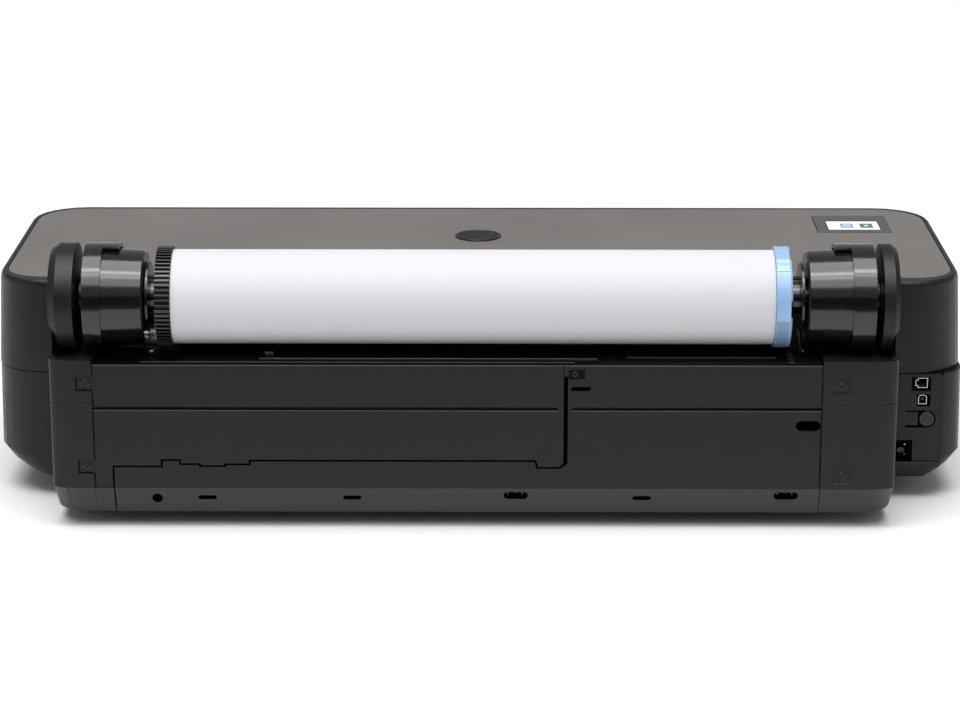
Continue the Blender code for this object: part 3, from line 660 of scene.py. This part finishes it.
def port_corner_detail():
    """What is round the sockets: the ledge under the seam, two small holes drawn as near-black dots of
    painted shade, the sill and the key's parts.
    """
    corner = mm(-469.6, 83.0)
    ledge_reach, ledge_back = 0.0301, 0.018
    ledge_low, ledge_high = 0.1337, 0.1354
    ledge = arc(corner, ledge_reach, 90, 180, 16) + arc(corner, ledge_back, 180, 90, 16)
    prism("port_ledge", ledge, "Z", ledge_low, ledge_high, "shell", "chassis")
    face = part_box("port_panel")[1].y
    dot = [(0, 0), (0, 0.0009), (0.00025, 0.0009), (0.00025, 0)]
    # Painted shade: near-black discs stand for the two small holes.
    for index, height in enumerate((0.1237, 0.1053)):
        place = (-0.4385, face - 0.0001, height)
        turned(f"hole_shade_{index + 1}", dot, "Y", place, "deep", "chassis", 24)
    sill_rear = face + 0.0028
    sill_start, sill_bend, bend_radius, sill_depth = -0.4300, -0.4700, 0.0300, 0.0050
    sill = [(sill_start, face - 0.0030), (sill_start, sill_rear)]
    sill += arc((sill_bend, sill_rear - bend_radius), bend_radius, 90, 112, 8)
    sill += [(x, y - sill_depth) for x, y in reversed(sill[2:])]
    prism("port_sill", sill, "Z", 0.0345, 0.0405, "shell", "chassis", 0.0014, 3)
    low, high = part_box("rear_key")
    centre = ((low.x + high.x) / 2, high.y, (low.z + high.z) / 2)
    ring_profile = [(-0.0002, 0.0035), (0.0004, 0.0037), (0.0004, 0.0045), (-0.0002, 0.0047)]
    turned("key_ring", ring_profile, "Y", centre, "smooth", "rear_key", 48)
    dish = [(-0.0002, 0), (-0.0002, 0.0022), (0.00025, 0.0020), (0.00035, 0.0015), (0.0002, 0)]
    turned("key_dish", dish, "Y", centre, "smooth", "rear_key", 48)
    arm_low = Vector((-0.4572, face - 0.0032, 0.0795))
    arm_high = Vector((-0.4362, face - 0.0012, 0.0940))
    block("key_arm", arm_low, arm_high, "shell", "chassis", 0.0004)


def lobed(x, z, reach, swing):
    """A six-lobed outline round (x, z), as a screw's recess has."""
    points = []
    for i in range(36):
        angle = 2 * math.pi * i / 36
        radius = reach + swing * math.cos(6 * angle)
        points.append((x + radius * math.cos(angle), z + radius * math.sin(angle)))
    return points


def screw_head(name, centre, radius, body="chassis"):
    """A flat screw head with a chamfered rim; its six-lobed recess is a near-black sheet on the head, painted
    shade.
    """
    x, y, z = centre
    head = [(0, 0), (0, radius), (0.0005, radius), (0.0009, radius - 0.0005), (0.0009, 0)]
    turned(f"{name}_head", head, "Y", (x, y, z), "screw", body, 36)
    recess = lobed(x, z, 0.46 * radius, 0.09 * radius)
    prism(f"{name}_recess", recess, "Y", y + 0.0008, y + 0.00096, "deep", body)


def screws_detail():
    for index in range(1, 5):
        low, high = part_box(f"cover_screw_{index}")
        middle = (low + high) / 2
        collar = [(0, 0.0036), (0.0006, 0.0036), (0.0008, 0.0040), (0.0004, 0.0047), (0, 0.0047)]
        centre = (middle.x, low.y - 0.0001, middle.z)
        turned(f"cover_screw_{index}_washer", collar, "Y", centre, "smooth", "chassis", 36)
        # Painted shade: the recess is a near-black lobed sheet at the head's face.
        recess = lobed(middle.x, middle.z, 0.0013, 0.0003)
        prism(f"cover_screw_{index}_recess", recess, "Y", high.y - 0.0001, high.y + 0.0001, "deep", "chassis")


def rear_cover_detail():
    """Screws inside the plates' long holes, the small screw well as a near-black plate of painted shade, and
    the tabs along the two seams.
    """
    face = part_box("rear_cover")[1].y
    rib_size = mm(1.4, 3.0, 4.6)
    for index, x in enumerate((-0.038, -0.312)):
        screw_head(f"bevel_screw_{index + 1}", (x, 0.2055, 0.0370), 0.0031)
        for side in (-1, 1):
            rib = Vector((x + side * 0.0072, 0.2070, 0.0345))
            name = f"bevel_rib_{index + 1}_{side + 1}"
            block(name, rib, rib + rib_size, "inner", "chassis", 0.0002)
    # Painted shade: the well is a near-black plate just proud of the cover.
    well = rounded((-0.1072, 0.1592), (-0.0905, 0.1692), 0.0012)
    prism("screw_well", well, "Y", face - 0.0002, face + 0.00008, "deep", "chassis")
    screw_head("well_screw", (-0.0972, face - 0.0004, 0.1642), 0.0027)
    rim = rounded((-0.1076, 0.1588), (-0.0901, 0.1696), 0.0016)
    inner = rounded((-0.1070, 0.1594), (-0.0907, 0.1690), 0.0010)
    bridge("screw_well_rim", rim, inner, "Y", face - 0.0002, face + 0.0003, "shell", "chassis")
    for index, height in enumerate((169.7, 157.7, 131.3, 83.9, 49.1)):
        low = mm(-345.9, 217.8, height - 1.2)
        block(f"seam_tab_{index + 1}", low, low + mm(1.6, 1.4, 2.4), "shell", "chassis", 0.0002)
    for index, height in enumerate((168.0, 141.0, 92.0, 82.0)):
        low = mm(386.9, 217.8, height)
        block(f"left_seam_tab_{index + 1}", low, low + mm(1.5, 1.4, 2.0), "shell", "chassis", 0.0002)


def seam_shade_and_highlights():
    """Painted shade: near-black strips at the bottom of the plates' grooves and in their seams. Painted
    highlight: pale grey strips along the plates' top edges and just under the grooves.
    """
    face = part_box("rear_cover")[1].y
    groove = (0.1262, 0.1294)
    groove_depth = 0.00158
    left_seam = (0.38690, 0.38845)
    right_seam = (-0.34605, -0.34440)
    panel_top = (0.1727, 0.17325)
    groove_lip = (0.12555, 0.12605)
    strips = (
        ("groove_shade_left", (-0.0797, 0.3880), groove, groove_depth),
        ("groove_shade_right", (-0.3455, -0.0953), groove, groove_depth),
        ("seam_shade_left_low", left_seam, (0.0740, 0.1458), 0.0),
        ("seam_shade_left_high", left_seam, (0.1612, 0.1726), 0.0),
        ("seam_shade_left_foot", left_seam, (0.0450, 0.0588), 0.0),
        ("seam_shade_right", right_seam, (0.0450, 0.1728), 0.0),
    )
    edges = (
        ("panel_edge_highlight_left", (-0.0858, 0.3878), panel_top),
        ("panel_edge_highlight_right", (-0.3453, -0.0868), panel_top),
        ("groove_edge_highlight_left", (-0.0797, 0.3878), groove_lip),
        ("groove_edge_highlight_right", (-0.3453, -0.0953), groove_lip),
    )
    # Painted highlight: thin pale grey strips on the plates' top edges and just under the grooves.
    for name, across, height in edges:
        start = (across[0], face - 0.0012, height[0])
        end = (across[1], face + 0.00012, height[1])
        block(name, start, end, "grey", "chassis", 0.00005)
    # Painted shade: near-black strips sunk in the grooves and laid in the seams.
    for name, across, height, depth in strips:
        start = (across[0], face - depth - 0.0003, height[0])
        end = (across[1], face - depth + 0.00006, height[1])
        block(name, start, end, "deep", "chassis", 0.00002)


def deck_detail():
    """Guides on the deck under the roll, the earth spring and the guard at the roll's end."""
    strips = (
        ("guide_long", (-120, 207, 173.3), (220, 209, 178.0)),
        ("guide_rear", (-97, 211.5, 173.3), (340, 213.6, 175.4)),
        ("guide_stop", (206, 198, 173.3), (215, 202, 182.0)),
        ("guide_right", (-300, 196, 173.3), (-150, 199, 176.5)),
        ("guide_end_right", (-318, 178, 173.3), (-312, 212, 175.2)),
    )
    for name, low, high in strips:
        block(name, mm(*low), mm(*high), "smooth", "chassis", 0.0004)
    block("earth_spring", mm(329.8, 168, 173.3), mm(334.6, 176, 176.4), "port", "chassis", 0.0006)
    low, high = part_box("paper_roll")
    axis = (low + high) / 2
    centre = (axis.y, axis.z)
    guard = arc(centre, 0.0535, 232, 292, 16) + arc(centre, 0.0560, 292, 232, 16)
    prism("end_guard", guard, "X", -0.3290, -0.3268, "grey", "chassis", 0.0004)


# Display and lid detail


def display_detail():
    """The lit area with two plain tiles, as a start screen would show, and the frame's inner edge."""
    low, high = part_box("display_glass")
    tiles = (
        ("tile_left", (-412.2, -143.8), (-398.2, -124.6), "tile_blue"),
        ("tile_right", (-433.8, -143.8), (-419.8, -124.6), "tile_green"),
    )
    for name, start, end, look in tiles:
        outline = rounded(mm(*start), mm(*end), 0.0010)
        prism(name, outline, "Z", high.z - 0.0001, high.z + 0.00012, look, "chassis")
    for index, (x, y) in enumerate(((-405.2, -137.5), (-405.2, -132.0))):
        bar = rounded(mm(x - 4.6, y - 1.1), mm(x + 4.6, y + 1.1), 0.0008)
        prism(f"tile_left_bar_{index + 1}", bar, "Z", high.z, high.z + 0.0002, "screen", "chassis")
    dot = [(0, 0), (0, 0.0027), (0.0002, 0.0027), (0.0002, 0)]
    turned("tile_right_dot", dot, "Z", (-0.4268, -0.1342, high.z), "screen", "chassis", 32)
    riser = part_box("control_panel")[1].z
    outer = rounded((low.x - 0.0012, low.y - 0.0012), (high.x + 0.0012, high.y + 0.0012), 0.0016)
    inner = rounded((low.x + 0.0002, low.y + 0.0002), (high.x - 0.0002, high.y - 0.0002), 0.0006)
    bridge("display_bezel", outer, inner, "Z", riser - 0.0006, riser + 0.00012, "gloss", "chassis")


def emblem_detail():
    """A fine raised ring round the plain disc in the lid's middle."""
    low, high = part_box("emblem_disc")
    centre = ((low.x + high.x) / 2, (low.y + high.y) / 2, high.z)
    rim = [(-0.0003, 0.0222), (0.0002, 0.0226), (0.0002, 0.0238), (-0.0003, 0.0242)]
    turned("emblem_ring", rim, "Z", centre, "smooth", "lid", 96)


# Front detail


def front_detail():
    """The output flap's grip, line and ribs, and the ink door's grip and four ink tones."""
    low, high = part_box("output_flap")
    grip_half = 0.045
    grip_low = (-grip_half, low.y - 0.0001, high.z - 0.0085)
    grip_high = (grip_half, low.y + 0.0004, high.z - 0.0035)
    block("flap_grip", grip_low, grip_high, "deep", "output_flap", 0.0002)
    line_low = (low.x + 0.006, low.y - 0.00005, low.z + 0.0035)
    line_high = (high.x - 0.006, low.y + 0.0006, low.z + 0.0050)
    block("flap_line", line_low, line_high, "gloss", "output_flap", 0.0002)
    for index in range(13):
        x = low.x + 0.02 + index * (high.x - low.x - 0.042) / 12
        start = (x, high.y - 0.0002, low.z + 0.004)
        end = (x + 0.0018, high.y + 0.0030, high.z - 0.004)
        block(f"flap_rib_{index + 1}", start, end, "smooth", "output_flap", 0.0004)
    low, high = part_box("ink_door")
    middle = (low.x + high.x) / 2
    grip_half = 0.018
    grip_low = (middle - grip_half, low.y - 0.0001, high.z - 0.0080)
    grip_high = (middle + grip_half, low.y + 0.0004, high.z - 0.0035)
    block("door_grip", grip_low, grip_high, "deep", "ink_door", 0.0002)
    for index, tone in enumerate(("grey", "yellow", "magenta", "cyan")):
        shift = 0.0215 * index
        start = (low.x + 0.0095 + shift, low.z + 0.012)
        end = (low.x + 0.0205 + shift, low.z + 0.020)
        drop = rounded(start, end, 0.003)
        prism(f"ink_tone_{index + 1}", drop, "Y", low.y - 0.00012, low.y + 0.0003, tone, "ink_door")


# Inside detail


def inside_detail():
    """What shows under the open lid: platen ribs and gutters, the carriage's parts and the encoder strip."""
    low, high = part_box("platen")
    for index in range(41):
        x = low.x + 0.012 + index * (high.x - low.x - 0.024) / 40
        start = (x - 0.0007, low.y + 0.004, high.z - 0.0002)
        end = (x + 0.0007, high.y - 0.004, high.z + 0.0012)
        block(f"platen_rib_{index + 1}", start, end, "smooth", "chassis", 0.0003)
    for index in range(2):
        y = low.y + 0.030 + 0.028 * index
        start = (low.x + 0.006, y, high.z)
        end = (high.x - 0.006, y + 0.006, high.z + 0.0003)
        block(f"platen_gutter_{index + 1}", start, end, "rubber", "chassis", 0.0001)
    low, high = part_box("carriage")
    top = high.z
    cap_low = (low.x + 0.006, low.y + 0.040, top - 0.0003)
    cap_high = (high.x - 0.006, high.y - 0.045, top + 0.0022)
    block("carriage_cap", cap_low, cap_high, "smooth", "carriage", 0.0012)
    latch_low = (low.x + 0.024, low.y + 0.046, top + 0.0018)
    latch_high = (high.x - 0.024, low.y + 0.060, top + 0.0050)
    block("carriage_latch", latch_low, latch_high, "blue", "carriage", 0.0014)
    for index, tone in enumerate(("cyan", "magenta", "yellow", "gloss")):
        x = low.x + 0.012 + 0.0165 * index
        start = (x, low.y + 0.066, top + 0.0010)
        end = (x + 0.009, low.y + 0.074, top + 0.0046)
        block(f"ink_port_{index + 1}", start, end, tone, "carriage", 0.0012)
    low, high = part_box("carriage_rail")
    strip_low = (low.x + 0.006, 0.0098, 0.2068)
    strip_high = (high.x - 0.006, 0.0100, 0.2128)
    block("encoder_strip", strip_low, strip_high, "film", "chassis", 0.00004)
    for side, name in ((low.x + 0.004, "left"), (high.x - 0.009, "right")):
        start = (side, 0.0085, 0.1990)
        end = (side + 0.005, 0.0380, 0.2135)
        block(f"encoder_post_{name}", start, end, "inner", "chassis", 0.0006)


def hub_detail():
    """The blue hub's five raised grips and inner web, and two flats and two thumb tabs on its rim; the grips,
    web and tabs take a darker copy of the blue as painted shade, the flats a paler copy as painted highlight.
    """
    low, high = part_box("blue_hub")
    roll_start, roll_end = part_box("paper_roll")
    axis = (roll_start + roll_end) / 2
    centre = (axis.y, axis.z)
    rim = (high.z - low.z) / 2
    rim_end = roll_start.x - 0.0012
    for index in range(5):
        start = 72 * index + 10
        outline = arc(centre, rim + 0.00005, start, start + 52, 14)
        outline += arc(centre, rim - 0.0022, start + 52, start, 14)
        name = f"hub_grip_{index + 1}"
        prism(name, outline, "X", low.x - 0.0014, low.x + 0.0004, "blue_painted_shade", "blue_hub", 0.0004)
    web = [(-0.0003, 0.0185), (0.0008, 0.0185), (0.0008, 0.0335), (-0.0003, 0.0340)]
    turned("hub_web", web, "X", (low.x, axis.y, axis.z), "blue_painted_shade", "blue_hub", 72)
    for index, half_turn in enumerate((0, 180)):
        start, end = 44.5 + half_turn, 62.0 + half_turn
        # Painted highlight: the flats take a paler copy of the hub's blue.
        outline = arc(centre, rim + 0.0005, start, end, 1) + arc(centre, rim - 0.0010, end, start, 1)
        name = f"hub_flat_{index + 1}"
        prism(name, outline, "X", low.x + 0.0008, rim_end, "blue_painted_highlight", "blue_hub", 0.0003)
        # Painted shade: the thumb tabs take a darker copy of the hub's blue.
        start, end = -62 + half_turn, -14 + half_turn
        outline = arc(centre, rim + 0.0002, start, end, 16) + arc(centre, rim - 0.0010, end, start, 16)
        name = f"hub_tab_{index + 1}"
        prism(name, outline, "X", low.x + 0.0012, rim_end, "blue_painted_shade", "blue_hub", 0.0003)


# Stage


def make_stage():
    """A plain white floor under an even pale world."""
    shape = bmesh.new()
    bmesh.ops.create_grid(shape, x_segments=1, y_segments=1, size=FLOOR_SIZE)
    mesh = bpy.data.meshes.new("floor")
    shape.to_mesh(mesh)
    shape.free()
    floor = bpy.data.objects.new("floor", mesh)
    bpy.context.scene.collection.objects.link(floor)
    look = Shader("floor_white", (0.93, 0.93, 0.93), 0.9)
    look.bump(look.noise(30.0, 2.0), 0.02, 0.0005)
    mesh.materials.append(look.material)

    world = bpy.data.worlds.new("studio")
    world.use_nodes = True
    background = world.node_tree.nodes["Background"]
    background.inputs["Color"].default_value = (1.0, 1.0, 1.0, 1.0)
    background.inputs["Strength"].default_value = WORLD_STRENGTH
    bpy.context.scene.world = world
    bpy.context.scene.view_settings.view_transform = "Standard"


def aim(item, location, target):
    item.location = location
    direction = Vector(target) - Vector(location)
    item.rotation_euler = direction.to_track_quat("-Z", "Y").to_euler()


def softbox(name, location, target, size, power):
    """A flat rectangular lamp, aimed at a point."""
    lamp = bpy.data.lights.new(name, "AREA")
    lamp.shape = "RECTANGLE"
    lamp.size, lamp.size_y = size
    lamp.energy = power
    item = bpy.data.objects.new(name, lamp)
    bpy.context.scene.collection.objects.link(item)
    aim(item, location, target)
    return item


def dark_card(name, low, high):
    """A black card that only shapes reflections, as a photographer sets one up beside the camera."""
    shape = bmesh.new()
    bmesh.ops.create_cube(shape, size=1.0)
    bmesh.ops.scale(shape, vec=Vector(high) - Vector(low), verts=shape.verts)
    bmesh.ops.translate(shape, vec=(Vector(high) + Vector(low)) / 2, verts=shape.verts)
    mesh = bpy.data.meshes.new(name)
    shape.to_mesh(mesh)
    shape.free()
    item = bpy.data.objects.new(name, mesh)
    bpy.context.scene.collection.objects.link(item)
    mesh.materials.append(Shader(name, (0.01, 0.01, 0.01), 0.9).material)
    item.visible_camera = False
    item.visible_diffuse = False
    item.visible_shadow = False


def make_lights():
    """A wide soft sky, a long strip, a broad box that only makes gloss, and two dark cards."""
    sky = bpy.data.lights.new("soft_sky", "SUN")
    sky.energy = SKY_ENERGY
    sky.angle = math.radians(SKY_ANGLE)
    item = bpy.data.objects.new("soft_sky", sky)
    bpy.context.scene.collection.objects.link(item)
    aim(item, (0.25, 0.35, 3.0), (0.0, 0.0, 0.0))
    softbox("high_strip", (0.0, 0.65, 1.70), ROLL_TARGET, (2.4, 0.21), 10.0)
    broad = softbox("broad_gloss", (0.0, 1.25, 1.55), ROLL_TARGET, (2.4, 0.8), 17.0)
    broad.visible_diffuse = False
    dark_card("floor_card", (-2.5, 0.95, 0.01), (2.5, 3.6, 0.02))
    dark_card("wall_card", (-2.5, 3.6, 0.0), (2.5, 3.62, 1.1))


def make_camera():
    """A long lens behind the plotter, looking slightly down on it."""
    yaw = math.radians(CAMERA_YAW)
    tilt = math.radians(CAMERA_TILT)
    camera = bpy.data.cameras.new("camera")
    camera.lens = CAMERA_LENS
    camera.sensor_width = 36.0
    camera.clip_end = 100.0
    item = bpy.data.objects.new("camera", camera)
    bpy.context.scene.collection.objects.link(item)
    item.location = CAMERA_PLACE
    forward = Vector((math.sin(yaw) * math.cos(tilt), -math.cos(yaw) * math.cos(tilt), -math.sin(tilt)))
    item.rotation_euler = forward.to_track_quat("-Z", "Y").to_euler()
    bpy.context.scene.camera = item


dress_housings()
dress_inside()
dress_sockets()
dress_roll()
network_detail()
data_detail()
inlet_detail()
port_corner_detail()
screws_detail()
rear_cover_detail()
seam_shade_and_highlights()
deck_detail()
display_detail()
emblem_detail()
front_detail()
inside_detail()
hub_detail()
make_stage()
make_lights()
make_camera()
